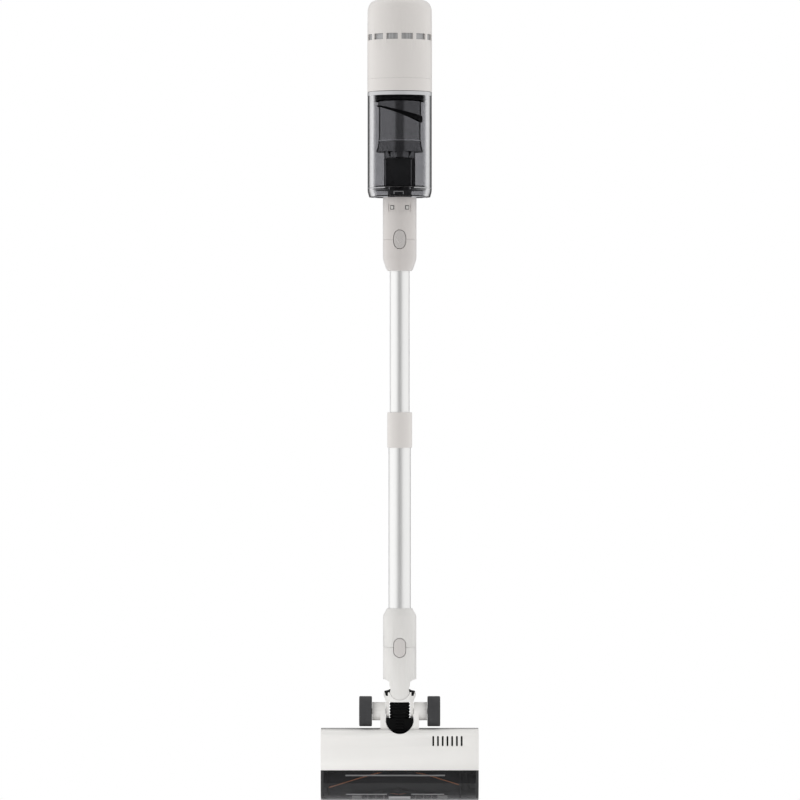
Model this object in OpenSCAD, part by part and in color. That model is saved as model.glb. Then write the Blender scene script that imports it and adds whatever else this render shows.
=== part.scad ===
// Cordless stick vacuum cleaner: main unit with a clear dust cup, telescopic wand and floor head.
// It hangs in line from a wall peg, nose down, with +Z up and its front towards -Y.
// Heights are measured up from the nose; placed() then moves the wall-hook mouth to the origin.

/* [Main unit] */
// Diameter of the motor housing
body_d = 93.7; // [93:0.1:94.5]
// Height of the top of the dome
top_z = 1161; // [1158:1:1166]
// Thickness of the moulded shells
wall = 2.4; // [2:0.1:2.6]
// Height of the seam between the housing and its ring
ring_seam_z = 1045; // [1044:0.5:1047]
// Height of the rim where the cup meets the ring
cup_top_z = 1027; // [1026:0.5:1028]
// Number of exhaust slots round the housing, the one behind the handle left shut
slot_count = 13; // [11:2:15]
// Height of one exhaust slot
slot_h = 8.7; // [6:0.1:9]
// Width of one exhaust slot, in degrees round the housing
slot_deg = 21; // [12:1:22]

/* [Dust cup] */
// Height of the bottom edge of the cup
cup_bottom_z = 874.6; // [873:0.2:876]
// Outer diameter of the cup
cup_d = 93; // [92.8:0.1:93.2]
// Diameter of the metal mesh filter
mesh_d = 60.5; // [58:0.5:61]
// Slope of the ramp over the mesh, in degrees
ramp_tilt = 19.6; // [10:0.2:21]

/* [Handle] */
// Width of the grip
grip_w = 30; // [28:1:34]
// Distance of the back of the grip from the body's centre line
grip_back_y = 112; // [112:1:116]
// Height of the wall-hook hole
hook_z = 1128; // [1126:1:1130]
// Diameter of the wall-hook hole
hook_d = 8; // [6:0.5:9]
// Depth of the wall-hook hole
hook_depth = 12; // [10:1:13]

/* [Wand] */
// Diameter of the upper tube
upper_tube_d = 28.5; // [28.4:0.1:28.5]
// Diameter of the lower tube
lower_tube_d = 32.2; // [32.1:0.1:32.3]
// Diameter of the collar between the tubes
collar_d = 36; // [36:0.2:38]
// Diameter of the adapter below the cup
adapter_d = 48.7; // [48:0.1:49.5]
// Diameter of the connector above the head
connector_d = 48.2; // [48:0.1:48.8]

/* [Floor head] */
// Width of the head
head_w = 228.4; // [228:0.2:232]
// Height of the swivel axis above the nose
swivel_z = 162.1; // [162:0.1:162.3]
// Height of the wheel axle above the nose
axle_z = 129.5; // [129.4:0.1:129.6]
// Diameter of the rear wheels
wheel_d = 43.7; // [42:0.1:44]
// Diameter of the brush over its bristles
brush_d = 44.8; // [43:0.1:45]
// Number of motor vent slots in the cover
vent_count = 7; // [5:1:7]

/* [Hidden] */
$fn = 72;

cream = [0.86, 0.84, 0.82];
white = [0.93, 0.92, 0.90];
dark = [0.14, 0.14, 0.15];
smoke = [0.35, 0.36, 0.38, 0.5];
grey = [0.27, 0.27, 0.28];
metal = [0.78, 0.78, 0.79];
copper = [0.60, 0.36, 0.24];

body_r = body_d / 2;
slot_z = 1101.3;
dome_edge_z = top_z - 17.5;
cup_r = cup_d / 2;
cup_inner_r = cup_r - 2.1;
cup_floor_z = 888;
mesh_r = mesh_d / 2;
skirt_top_z = 955.6;
duct_top_z = 930.4;
flap_y = 17.9;
flap_z = 926.5;
ramp_mid_z = 994.7;
seal_low_z = 1014;
seal_top_z = 1019.1;

spine_y = body_r + 0.35;
gap_y = 53;
grip_front_y = 84;
hook_half = 7;
loop_bottom_z = 990;
gap_bottom_z = 1019;
gap_top_z = 1108;
loop_top_z = 1144;
battery_z = 918;
cell_y = [62, 80.5, 99];
socket_y = (cell_y[1] + cell_y[2]) / 2;
screw_y = 62;
screw_z = [1004, 1122];
power_y = 94;
mode_y = 73;
cup_release_z = 1052;

adapter_r = adapter_d / 2;
adapter_seam_z = 813;
adapter_bottom_z = 767.8;
upper_r = upper_tube_d / 2;
lower_r = lower_tube_d / 2;
tube_wall = 1.2;
collar_r = collar_d / 2;
collar_top_z = 562.9;
collar_bottom_z = 511.6;
collar_button_z = 551.5;
tube_stop_z = 540;
air_bore_r = 13.2;
upper_latch = [19, 27.5, 25];
lower_latch = [17.8, 27.8, 21];
connector_r = connector_d / 2;
connector_top_z = 279.1;
connector_seam_z = 223;
shoulder_z = 173.3;
button_lift = 0.8;

head_half = head_w / 2;
head_rear_z = 104;
cover_front_z = 45.6;
roller_z = 27.6;
roller_y = -1;
window_r = 24.7;
sole_y = 19.5;
neck_y = 13.2;
hose_seat_z = 118.2;
hose_r = 14.3;
roller_pin_y = 16.6;
pin_r = 3;
lug_inner_y = 17.4;
wheel_in_x = 40.2;
wheel_out_x = 58.7;
sole_roller_x = [-72, 72];
sole_roller_z = 67;
motor_y = -4;
motor_z = 82;
end_wall = 4;
seam = 0.3;

// ---- shared shapes ----

// Moves a piece from heights above the nose to the wall-hook frame
module placed() {
    translate([0, -grip_back_y, -hook_z]) children();
}

// Extrudes a (Y, Z) outline along X
module along_x(x0, x1) {
    translate([x0, 0, 0]) rotate([90, 0, 90]) linear_extrude(x1 - x0) children();
}

// Extrudes an (X, Z) outline along Y
module along_y(y0, y1) {
    translate([0, y1, 0]) rotate([90, 0, 0]) linear_extrude(y1 - y0) children();
}

// A round bar along Z
module bar(r, z0, z1) {
    translate([0, 0, z0]) cylinder(r = r, h = z1 - z0);
}

// A round bar along X, centred on (y, z)
module bar_x(r, x0, x1, y, z) {
    translate([x0, y, z]) rotate([0, 90, 0]) cylinder(r = r, h = x1 - x0);
}

// A round bar along Y, centred on (x, z)
module bar_y(r, y0, y1, x, z) {
    translate([x, y0, z]) rotate([-90, 0, 0]) cylinder(r = r, h = y1 - y0);
}

// A straight tube along Z
module tube(r, r_in, z0, z1) {
    difference() {
        bar(r, z0, z1);
        bar(r_in, z0 - 1, z1 + 1);
    }
}

// A box between two corners
module block(a, b) {
    translate(a) cube(b - a);
}

// A rectangle with round corners between two corners
module round_rect(a, b, r) {
    translate([a.x + r, a.y]) square([b.x - a.x - 2 * r, b.y - a.y]);
    translate([a.x, a.y + r]) square([b.x - a.x, b.y - a.y - 2 * r]);
    for (x = [a.x + r, b.x - r], y = [a.y + r, b.y - r]) translate([x, y]) circle(r);
}

// An upright rounded slot centred on (0, z)
module stadium(w, h, z) {
    translate([-w / 2, z - (h - w) / 2]) square([w, h - w]);
    for (s = [-1, 1]) translate([0, z + s * (h - w) / 2]) circle(w / 2);
}

// Both mirror images of a piece on the +X side
module both_sides() {
    children();
    mirror([1, 0, 0]) children();
}

// ---- main unit ----

// Outline of the housing, inset by t
function dome(t) = concat(
    [[0, ring_seam_z + seam], [body_r - t, ring_seam_z + seam]],
    [for (a = [0:15:90]) [body_r - 12 + (12 - t) * cos(a), dome_edge_z + (16 - t) * sin(a)]],
    [[20, top_z - t - 0.5], [0, top_z - t]]);

module motor_housing() {
    pitch = 360 / slot_count;
    color(cream) difference() {
        rotate_extrude() polygon(dome(0));
        translate([0, 0, -1]) rotate_extrude() polygon(dome(wall));
        for (i = [0:slot_count - 1]) if (i != (slot_count - 1) / 2)
            rotate([0, 0, -90 + (i + 0.5) * pitch - slot_deg / 2])
                rotate_extrude(angle = slot_deg)
                    translate([body_r - 6, slot_z]) square([10, slot_h]);
    }
}

module bayonet_ring() {
    color(cream) {
        tube(body_r, body_r - wall, cup_top_z, ring_seam_z - seam);
        tube(body_r - wall, 25, ring_seam_z - 3.7, ring_seam_z - seam);
    }
}

module exhaust_grille() {
    color(grey) tube(body_r - wall - 0.2, body_r - wall - 0.9, slot_z - 2.5, slot_z + slot_h + 2.5);
}

module hepa_filter() {
    color(white) tube(body_r - wall - 1, 33, ring_seam_z + 12, slot_z - 2.6);
}

module motor_frame() {
    color(dark) difference() {
        union() {
            tube(31, 29, 1050, 1096.5);
            tube(body_r - wall - 0.2, 29, 1047, 1050);
            tube(7, 2.56, 1088, 1096.5);
            for (a = [0:60:120]) rotate([0, 0, a]) block([-30, -1.5, 1093], [30, 1.5, 1096.5]);
        }
        bar(2.56, 1087, 1098);
    }
}

module motor_stator() {
    color(copper) {
        tube(20, 11, 1063, 1085);
        difference() {
            for (a = [30, 90, 150]) rotate([0, 0, a]) block([-28.95, -2, 1070], [28.95, 2, 1076]);
            bar(19, 1060, 1090);
        }
    }
}

module motor_rotor() {
    color(metal) {
        bar(2.5, 1051, 1097.5);
        bar(10.4, 1064, 1084);
        translate([0, 0, 1052.5]) cylinder(r1 = 24, r2 = 9, h = 8);
        for (a = [0:30:330]) rotate([0, 0, a]) block([6, -0.6, 1053], [23, 0.6, 1060.5]);
    }
}

module circuit_board() {
    color("darkgreen") bar(38, 1122, 1123.6);
    color(dark) for (x = [-20, 0, 18]) block([x - 5, -6, 1123.6], [x + 5, 6, 1128]);
}

// ---- filter set that stays with the main unit ----

module filter_frame() {
    color(dark) {
        tube(cup_inner_r - 0.35, 41.5, seal_top_z + 0.1, 1040.8);
        tube(42, 26, seal_top_z + 0.1, 1022);
    }
}

module cup_seal() {
    color(dark) tube(cup_inner_r - 0.3, 41, seal_low_z, seal_top_z);
}

// Everything under a tilted plane through (0, z)
module below(tilt, z) {
    translate([0, 0, z]) rotate([0, tilt, 0]) translate([-80, -80, -160]) cube([160, 160, 160]);
}

module filter_shroud() {
    color(dark) {
        tube(40.8, 29, 1016, 1019);
        difference() {
            tube(mesh_r, mesh_r - 1.4, 970, 1016.5);
            below(ramp_tilt, ramp_mid_z);
        }
        difference() {
            intersection() {
                tube(mesh_r + 1.2, mesh_r - 1.4, 960, 1016.5);
                below(ramp_tilt * 0.67, ramp_mid_z + 6.5);
            }
            below(ramp_tilt, ramp_mid_z);
        }
    }
}

module mesh_filter() {
    color(metal) intersection() {
        tube(mesh_r, mesh_r - 0.8, skirt_top_z, 1016);
        below(ramp_tilt, ramp_mid_z - 0.05);
    }
}

module foam_filter() {
    color(white) tube(mesh_r - 2.6, 12, skirt_top_z + 1, 1012);
}

module filter_skirt() {
    color(dark) rotate_extrude() polygon([
        [0, 931.4], [22.5, 931.4], [22.5, 940], [34, 940], [mesh_r + 0.6, skirt_top_z], [0, skirt_top_z]]);
}

// ---- handle ----

// Side outline of the D-shaped handle, inset by t
module handle_outline(t) {
    difference() {
        round_rect([spine_y + t, loop_bottom_z + t], [grip_back_y - t, loop_top_z - t], 20 - t);
        round_rect([gap_y - t, gap_bottom_z - t], [grip_front_y + t, gap_top_z + t], 12 + t);
    }
    translate([spine_y + t, loop_bottom_z + t]) square([gap_y - spine_y - 2 * t, 24]);
    translate([spine_y + t, loop_top_z - 24 - t]) square([gap_y - spine_y - 2 * t, 24]);
}

// The half of the handle on the +X side, as a hollow shell
module handle_half() {
    difference() {
        along_x(0, grip_w / 2) handle_outline(0);
        intersection() {
            along_x(-1, grip_w / 2 - wall) handle_outline(wall);
            block([-2, gap_y + 1, 980], [grip_w, 130, 1160]);
        }
        bar(body_r + 0.3, 940, 1180);
        block([-hook_half - 0.05, grip_back_y - hook_depth - 2.6, hook_z - hook_half - 0.05],
              [hook_half + 0.05, grip_back_y + 1, hook_z + hook_half + 0.05]);
        translate([0, power_y, 0]) bar(7.1, loop_top_z - 5, loop_top_z + 1);
        translate([0, mode_y, 0]) bar(5.1, loop_top_z - 5, loop_top_z + 1);
        along_y(49.4, gap_y + 1) stadium(12.6, 20.6, cup_release_z);
        for (z = screw_z) bar_x(1.55, -1, 8, screw_y, z);
        for (z = screw_z) bar_x(3.2, grip_w / 2 - 3, grip_w, screw_y, z);
    }
}

module handle_right() {
    color(cream) handle_half();
}

module handle_left() {
    color(cream) mirror([1, 0, 0]) handle_half();
}

module hook_bush() {
    color(metal) difference() {
        block([-hook_half, grip_back_y - hook_depth - 2.5, hook_z - hook_half],
              [hook_half, grip_back_y, hook_z + hook_half]);
        bar_y(hook_d / 2, grip_back_y - hook_depth, grip_back_y + 1, 0, hook_z);
    }
}

// Cross-section of the battery case, inset by t
module battery_section(t) {
    round_rect([-21.5 + t, 50.5 + t], [21.5 - t, 110.5 - t], 9 - t);
}

module battery_case() {
    color(cream) difference() {
        translate([0, 0, battery_z]) linear_extrude(loop_bottom_z - battery_z - 0.2) battery_section(0);
        translate([0, 0, battery_z + 2]) linear_extrude(80) battery_section(2);
        translate([0, socket_y, 0]) bar(3.9, battery_z - 1, battery_z + 3);
    }
}

module battery_cells() {
    color("steelblue") for (x = [-9.2, 9.2], y = cell_y)
        translate([x, y, 0]) bar(9.1, battery_z + 4.2, loop_bottom_z - 2.8);
}

module charge_socket() {
    color(dark) translate([0, socket_y, 0]) difference() {
        bar(3.85, battery_z, battery_z + 11);
        bar(2.75, battery_z - 1, battery_z + 9.5);
    }
}

module handle_screws() {
    color(metal) for (z = screw_z) {
        bar_x(1.5, -7, grip_w / 2 - 3.1, screw_y, z);
        bar_x(3, grip_w / 2 - 3, grip_w / 2 - 1.2, screw_y, z);
    }
}

module power_button() {
    color(grey) translate([0, power_y, 0]) bar(6.8, loop_top_z - 2.2, loop_top_z + 1);
}

module mode_button() {
    color(grey) translate([0, mode_y, 0]) bar(4.8, loop_top_z - 2.2, loop_top_z + 1);
}

module cup_release_button() {
    color(grey) along_y(51.2, gap_y + 0.9) stadium(12, 20, cup_release_z);
}

// ---- dust cup ----

module dust_cup() {
    color(smoke) rotate_extrude() polygon([
        [cup_inner_r, cup_top_z - seam], [cup_r, cup_top_z - seam], [cup_r, cup_bottom_z + 8.4],
        [cup_r - 2.3, cup_bottom_z], [cup_r - 4.5, cup_bottom_z], [cup_r - 2.9, cup_floor_z - 3.1],
        [17.25, cup_floor_z - 3.1], [17.25, cup_floor_z], [cup_inner_r, cup_floor_z]]);
}

module inlet_duct() {
    color(dark) difference() {
        union() {
            block([-22.5, -16, cup_floor_z], [22.5, 16, duct_top_z]);
            bar(17.2, 846, cup_floor_z + 1);
            both_sides() block([14.6, 16, 924], [17, 19.6, 929]);
        }
        block([-20.5, -14, cup_floor_z + 2], [20.5, 14, duct_top_z - 2]);
        bar(14.6, 845, cup_floor_z + 3);
        block([-14, 10, 902], [14, 17, 921]);
        bar_x(1.02, -18, 18, flap_y, flap_z);
    }
}

module inlet_flap() {
    color(grey) {
        bar_x(1.3, -14.2, 14.2, flap_y, flap_z);
        bar_x(0.96, -16.8, 16.8, flap_y, flap_z);
        block([-14.2, 16.6, 899], [14.2, 18.4, flap_z]);
    }
}

// ---- upper adapter ----

// Pocket behind a release button; a latch is [width, height, reach of its bar above z]
module latch_pocket(latch, z, r) {
    along_y(-r - 3, -16.8) stadium(latch[0] + 0.7, latch[1] + 0.7, z);
    block([-5.4, -20.6, z - latch[1] / 2 + 3], [5.4, -16.6, z + latch[2] + 0.4]);
}

// A release button with the steel latch bar that it carries
module latch_button(latch, z, r) {
    intersection() {
        along_y(-r - 3, -20) stadium(latch[0], latch[1], z);
        bar(r + button_lift, z - latch[1], z + latch[1]);
    }
    block([-5, -20.2, z - latch[1] / 2 + 4], [5, -18.9, z + latch[2]]);
}

module adapter_cuts() {
    bar(17.5, 843, cup_bottom_z + 1);
    bar(upper_r + 0.05, adapter_bottom_z - 1, 809);
    bar(air_bore_r, 700, 900);
    latch_pocket(upper_latch, adapter_seam_z, adapter_r);
}

module adapter_upper() {
    color(cream) difference() {
        bar(adapter_r, adapter_seam_z + 0.15, cup_bottom_z - seam);
        adapter_cuts();
        bar(19.5, 866, 870);
        difference() {
            block([-16.3, -30, 853.3], [16.3, -10, 865.7]);
            bar(adapter_r - 1.4, 850, 870);
        }
    }
}

module adapter_lower() {
    color(cream) difference() {
        rotate_extrude() polygon([
            [0, adapter_seam_z - 0.15], [adapter_r, adapter_seam_z - 0.15], [adapter_r, 783],
            [adapter_r - 0.8, 780], [19, adapter_bottom_z + 1.2], [17.6, adapter_bottom_z],
            [0, adapter_bottom_z]]);
        adapter_cuts();
    }
}

module contact_pads() {
    color(metal) both_sides() intersection() {
        tube(adapter_r - 0.6, adapter_r - 1.4, 857.1, 864.1);
        block([7.9, -adapter_r, 857], [13.7, -10, 865]);
    }
}

module wand_seal() {
    color(dark) tube(19.45, 17.5, 866.1, 869.9);
}

module upper_release_button() {
    color(cream) latch_button(upper_latch, adapter_seam_z, adapter_r);
}

// ---- telescopic wand ----

module upper_tube() {
    color(metal) tube(upper_r, upper_r - tube_wall, 505, 808.9);
}

module tube_collar() {
    color(cream) difference() {
        rotate_extrude() polygon([
            [0, collar_bottom_z], [collar_r - 1.6, collar_bottom_z], [collar_r - 0.4, collar_bottom_z + 0.6],
            [collar_r, collar_bottom_z + 2], [collar_r, collar_top_z - 2],
            [collar_r - 0.4, collar_top_z - 0.6], [collar_r - 1.6, collar_top_z], [0, collar_top_z]]);
        bar(lower_r + 0.02, collar_bottom_z - 1, tube_stop_z);
        bar(14.9, 530, collar_top_z + 1);
        along_y(14, collar_r + 2) stadium(10.6, 14.6, collar_button_z);
    }
}

module collar_bush() {
    color(dark) tube(14.85, upper_r + 0.06, collar_bottom_z + 1, collar_top_z - 0.4);
}

module collar_button() {
    color(cream) intersection() {
        along_y(16.7, collar_r + 2) stadium(10, 14, collar_button_z);
        bar(collar_r + button_lift, 520, 570);
    }
}

module lower_tube() {
    color(metal) tube(lower_r, lower_r - tube_wall, 246, tube_stop_z);
}

// ---- lower connector ----

module connector_cuts() {
    bar(lower_r + 0.3, 245.5, connector_top_z + 1);
    bar(air_bore_r, 160, 260);
    latch_pocket(lower_latch, connector_seam_z - 0.7, connector_r);
}

module connector_upper() {
    color(white) difference() {
        rotate_extrude() polygon([
            [0, connector_seam_z + 0.15], [connector_r, connector_seam_z + 0.15], [connector_r, 267],
            [connector_r - 0.6, 269.5], [18.4, connector_top_z - 0.6], [17.4, connector_top_z],
            [0, connector_top_z]]);
        connector_cuts();
    }
}

// Outline of the two lugs that straddle the yoke
module lug_outline() {
    translate([0, swivel_z]) circle(15);
    translate([-15, swivel_z]) square([30, 24]);
}

module connector_lower() {
    color(white) difference() {
        union() {
            bar(connector_r, shoulder_z, connector_seam_z - 0.15);
            intersection() {
                bar(connector_r, 140, shoulder_z + 1);
                along_y(-30, 30) lug_outline();
            }
        }
        block([-30, -lug_inner_y, 140], [30, lug_inner_y, shoulder_z]);
        bar_y(13.8, -lug_inner_y, lug_inner_y, 0, swivel_z);
        for (s = [-1, 1]) {
            bar_y(11, -30, 30, s * 24.4, swivel_z);
            bar_y(14.2, -lug_inner_y, lug_inner_y, s * 24.4, swivel_z);
        }
        bar_y(pin_r + 0.05, -22.2, 22.2, 0, swivel_z);
        connector_cuts();
    }
}

module lower_release_button() {
    color(white) latch_button(lower_latch, connector_seam_z - 0.7, connector_r);
}

// ---- yoke ----

// Front outline of the yoke's cradle
module yoke_outline() {
    polygon([[-19.9, 143.8], [-20.8, 147], [-22.6, 151], [-23.4, 154.5], [-23, 157], [-22, 157.9],
             [22, 157.9], [23, 157], [23.4, 154.5], [22.6, 151], [20.8, 147], [19.9, 143.8]]);
}

// Front outline of the black liner between the lugs
module liner_outline() {
    translate([0, swivel_z]) circle(13.2);
    polygon([[-22.2, 158.6], [-17, 159.2], [-12.9, 161.4], [12.9, 161.4], [17, 159.2], [22.2, 158.6],
             [20, 152.5], [-20, 152.5]]);
}

module yoke() {
    color(white) difference() {
        union() {
            intersection() {
                bar(connector_r, 140, 165);
                along_y(-30, 30) yoke_outline();
            }
            both_sides() along_x(15.3, 19.9) {
                translate([0, axle_z]) circle(9.3);
                translate([-9.3, axle_z]) square([18.6, 17]);
            }
        }
        both_sides() bar_x(4.06, 15, 20.5, 0, axle_z);
        along_y(-17.1, 17.1) liner_outline();
        for (s = [-1, 1]) along_y(s > 0 ? 17.1 : -40, s > 0 ? 40 : -17.1) {
            translate([0, swivel_z]) circle(15.4);
            translate([-15.4, swivel_z]) square([30.8, 20]);
        }
        bar(hose_r + 0.05, 140, 147.2);
        bar(9.5, 140, 170);
    }
}

module yoke_liner() {
    color(dark) difference() {
        along_y(-17.05, 17.05) liner_outline();
        bar(9.5, 140, 190);
        bar_y(pin_r, -20, 20, 0, swivel_z);
        difference() {
            along_y(-30, 30) square(500, center = true);
            bar(connector_r - 0.4, 100, 200);
        }
    }
}

module swivel_pins() {
    color(metal) for (s = [0, 180]) rotate([0, 0, s]) bar_y(pin_r, -22, -10.6, 0, swivel_z);
}

module hose() {
    color(dark) tube(hose_r, 12.4, 92, 147.1);
}

// ---- floor head ----

module hose_cuff() {
    color(dark) difference() {
        intersection() {
            bar_y(20.1, -13.3, 13.3, 0, hose_seat_z);
            block([-30, -30, 90], [30, 30, 119.3]);
        }
        bar(hose_r + 0.3, 80, 130);
        bar(16.5, 80, 97.2);
    }
}

module head_neck() {
    color(white) difference() {
        union() {
            both_sides() bar_x(neck_y, 20.5, wheel_in_x - 0.5, 0, axle_z);
            both_sides() block([20.5, -neck_y, 92], [28, neck_y, axle_z]);
            block([-28, -neck_y, 86], [28, neck_y, hose_seat_z]);
        }
        both_sides() bar_x(4, 20, 50, 0, axle_z);
        bar_y(20.5, -30, 30, 0, hose_seat_z);
        block([-20.5, -30, hose_seat_z], [20.5, 30, 130]);
        bar(16.5, 80, 130);
    }
}

module axle_pins() {
    color(metal) both_sides() bar_x(4, 15.4, 57.2, 0, axle_z);
}

// One rear wheel on the +X side: a hard core under a soft tread
module wheel() {
    difference() {
        union() {
            bar_x(wheel_d / 2 - 0.5, wheel_in_x, wheel_out_x, 0, axle_z);
            bar_x(wheel_d / 2, wheel_in_x + 0.6, wheel_out_x - 0.6, 0, axle_z);
        }
        bar_x(4.06, wheel_in_x - 1, 57.4, 0, axle_z);
    }
}

module wheel_right() {
    color(grey) wheel();
}

module wheel_left() {
    color(grey) mirror([1, 0, 0]) wheel();
}

// Side outline of the cover, inset by t
module cover_outline(t) {
    polygon([[6 + t * 2, head_rear_z - t], [-16.5, head_rear_z - t], [-20.5 + t * 0.4, head_rear_z - 1 - t],
             [-23.5 + t * 0.8, head_rear_z - 4.5 - t * 0.5], [-26 + t, 92], [-27.3 + t, 78],
             [-27.4 + t, 62], [-26.2 + t, cover_front_z - t], [6 + t * 2, cover_front_z - t]]);
}

module head_cover() {
    color(white) difference() {
        along_x(-head_half, head_half) cover_outline(0);
        along_x(-head_half + wall, head_half - wall) cover_outline(wall);
        bar_y(20.4, -40, 30, 0, hose_seat_z);
        bar_x(window_r + 0.3, -head_half - 1, head_half + 1, roller_y, roller_z);
        block([-28.1, -neck_y - 0.1, 85.9], [28.1, 30, 110]);
        for (i = [0:vent_count - 1]) translate([48.5 + i * 6.84, 0, 0])
            along_y(-40, -15) stadium(2.6, 14.6, 87.8);
    }
}

module head_base() {
    color(grey) difference() {
        union() {
            both_sides() along_x(head_half - wall - end_wall, head_half - wall - 0.1)
                round_rect([-22, 54], [17, 100.5], 6);
            both_sides() along_x(head_half - end_wall, head_half) {
                translate([roller_y, roller_z]) circle(window_r);
                translate([-10, 4.3]) square([sole_y + 10, cover_front_z - 4.6]);
                translate([roller_y - window_r, roller_z]) square([26, cover_front_z - roller_z - 0.3]);
            }
            block([-head_half, 16.8, 51.5], [head_half, sole_y, head_rear_z]);
            block([-head_half, 6.3, 101.6], [head_half, sole_y, head_rear_z]);
            block([-head_half + 6.4, -22.5, 51.6], [head_half - 6.4, 17, 53.6]);
            both_sides() block([head_half - end_wall, 6.3, 40], [head_half, sole_y, head_rear_z]);
            block([87, -22.5, 6], [88.8, 17, 53]);
            block([87, 16.8, 4.3], [head_half, sole_y, 53]);
            block([-head_half, 15.8, 4.3], [head_half, 18.4, 12]);
            bar_x(11, 101.5, 111, roller_y, roller_z);
            for (x = sole_roller_x) block([x - 9, 11.5, 58], [x + 9, 17, 76]);
        }
        bar_x(19, -head_half - 1, -head_half + end_wall + 1, roller_y, roller_z);
        bar_x(pin_r + 0.06, 80, 109.5, roller_y, roller_z);
        bar_x(13, 86, 89.5, roller_y, roller_z);
        block([-16, -14, 51], [16, 14, 54]);
        block([90.3, -14, 50], [99.5, 12, 54]);
        block([-20.6, 3, 90], [20.6, 30, 110]);
        block([-28.3, 3, 85], [28.3, neck_y + 0.3, 110]);
        for (x = sole_roller_x) {
            block([x - 6, 8, sole_roller_z - 7], [x + 6, 30, sole_roller_z + 7]);
            bar_x(1.56, x - 8, x + 8, roller_pin_y, sole_roller_z);
        }
    }
}

module window() {
    color(smoke) difference() {
        along_x(-head_half + end_wall + 0.2, head_half - end_wall - 0.2) difference() {
            union() {
                translate([roller_y, roller_z]) circle(window_r);
                translate([roller_y - window_r, roller_z]) square([25, cover_front_z - roller_z - 0.3]);
            }
            translate([roller_y, roller_z]) circle(window_r - 1.7);
            translate([roller_y - window_r + 1.7, roller_z]) square([60, 60]);
            translate([roller_y + 0.5, -20]) square([60, 90]);
        }
        block([86.9, -23, 0], [88.9, 30, 60]);
    }
}

module front_lip() {
    color([0.56, 0.56, 0.57]) difference() {
        block([-head_half, -1, 0], [head_half, sole_y - 0.5, 4.2]);
        bar_x(window_r + 0.1, -head_half - 1, head_half + 1, roller_y, roller_z);
    }
}

module head_duct() {
    color(dark) tube(16.4, 14.7, 53.7, 96.8);
}

module head_motor() {
    color(metal) difference() {
        union() {
            bar_x(13, 34, 84, motor_y, motor_z);
            bar_x(6, 84, 86, motor_y, motor_z);
        }
        bar_x(1.56, 33, 87, motor_y, motor_z);
    }
}

module motor_pinion() {
    color(metal) bar_x(1.5, 35, 99, motor_y, motor_z);
    color(dark) bar_x(5, 91, 98.5, motor_y, motor_z);
}

// The two pulley circles that the belt runs round, grown by t
module belt_outline(t) {
    hull() {
        translate([roller_y, roller_z]) circle(11 + t);
        translate([motor_y, motor_z]) circle(5 + t);
    }
}

module drive_belt() {
    color(dark) along_x(91.5, 98) difference() {
        belt_outline(1.7);
        belt_outline(0.3);
    }
}

// One bristle strip, stepped round the brush from its middle to one end
module bristle_strip(turn, len, steps) {
    for (k = [0:steps - 1]) rotate([0, 0, k * turn / (steps - 1)])
        block([15, -1.2, k * len / steps], [brush_d / 2, 1.2, (k + 1) * len / steps]);
}

module brush_roll() {
    color(dark) {
        bar_x(17, -103, 86, roller_y, roller_z);
        bar_x(11, 90.5, 99.5, roller_y, roller_z);
        bar_x(pin_r, -109, 109.3, roller_y, roller_z);
        bar_x(8, 85, 91, roller_y, roller_z);
    }
    color(copper) translate([-8.5, roller_y, roller_z]) for (a = [0, 180], tip = [-90, 90])
        rotate([a, tip, 0]) bristle_strip(50, 92, 6);
}

module end_lock() {
    color(dark) difference() {
        union() {
            bar_x(18.6, -head_half, -head_half + end_wall, roller_y, roller_z);
            bar_x(17, -head_half, -104.5, roller_y, roller_z);
        }
        bar_x(pin_r + 0.06, -109.4, -100, roller_y, roller_z);
        for (s = [-1, 1]) translate([0, roller_y, roller_z])
            block([-head_half - 1, s > 0 ? 2.5 : -9, -13], [-head_half + 1.6, s > 0 ? 9 : -2.5, 13]);
    }
}

module sole_rollers() {
    color(grey) for (x = sole_roller_x) {
        bar_x(5, x - 4, x + 4, roller_pin_y, sole_roller_z);
        bar_x(1.5, x - 7.8, x + 7.8, roller_pin_y, sole_roller_z);
    }
}

// ---- assembly ----

placed() motor_housing();
placed() bayonet_ring();
placed() exhaust_grille();
placed() hepa_filter();
placed() motor_frame();
placed() motor_stator();
placed() motor_rotor();
placed() circuit_board();
placed() filter_frame();
placed() cup_seal();
placed() filter_shroud();
placed() mesh_filter();
placed() foam_filter();
placed() filter_skirt();
placed() handle_left();
placed() handle_right();
placed() hook_bush();
placed() battery_case();
placed() battery_cells();
placed() charge_socket();
placed() handle_screws();
placed() power_button();
placed() mode_button();
placed() cup_release_button();
placed() dust_cup();
placed() inlet_duct();
placed() inlet_flap();
placed() adapter_upper();
placed() adapter_lower();
placed() contact_pads();
placed() wand_seal();
placed() upper_release_button();
placed() upper_tube();
placed() tube_collar();
placed() collar_bush();
placed() collar_button();
placed() lower_tube();
placed() connector_upper();
placed() connector_lower();
placed() lower_release_button();
placed() yoke();
placed() yoke_liner();
placed() swivel_pins();
placed() hose();
placed() hose_cuff();
placed() head_neck();
placed() axle_pins();
placed() wheel_left();
placed() wheel_right();
placed() head_cover();
placed() head_base();
placed() window();
placed() front_lip();
placed() head_duct();
placed() head_motor();
placed() motor_pinion();
placed() drive_belt();
placed() brush_roll();
placed() end_lock();
placed() sole_rollers();
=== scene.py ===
"""Looks of a cordless stick vacuum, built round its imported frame.

The cleaner hangs in line, nose down, with its front towards -Y. Heights in this file are millimetres above
the nose, x is millimetres from the middle, and y is millimetres from the wand's axis, positive to the back.
"""

import math

import bmesh
import bpy
from mathutils import Matrix, Vector


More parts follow.
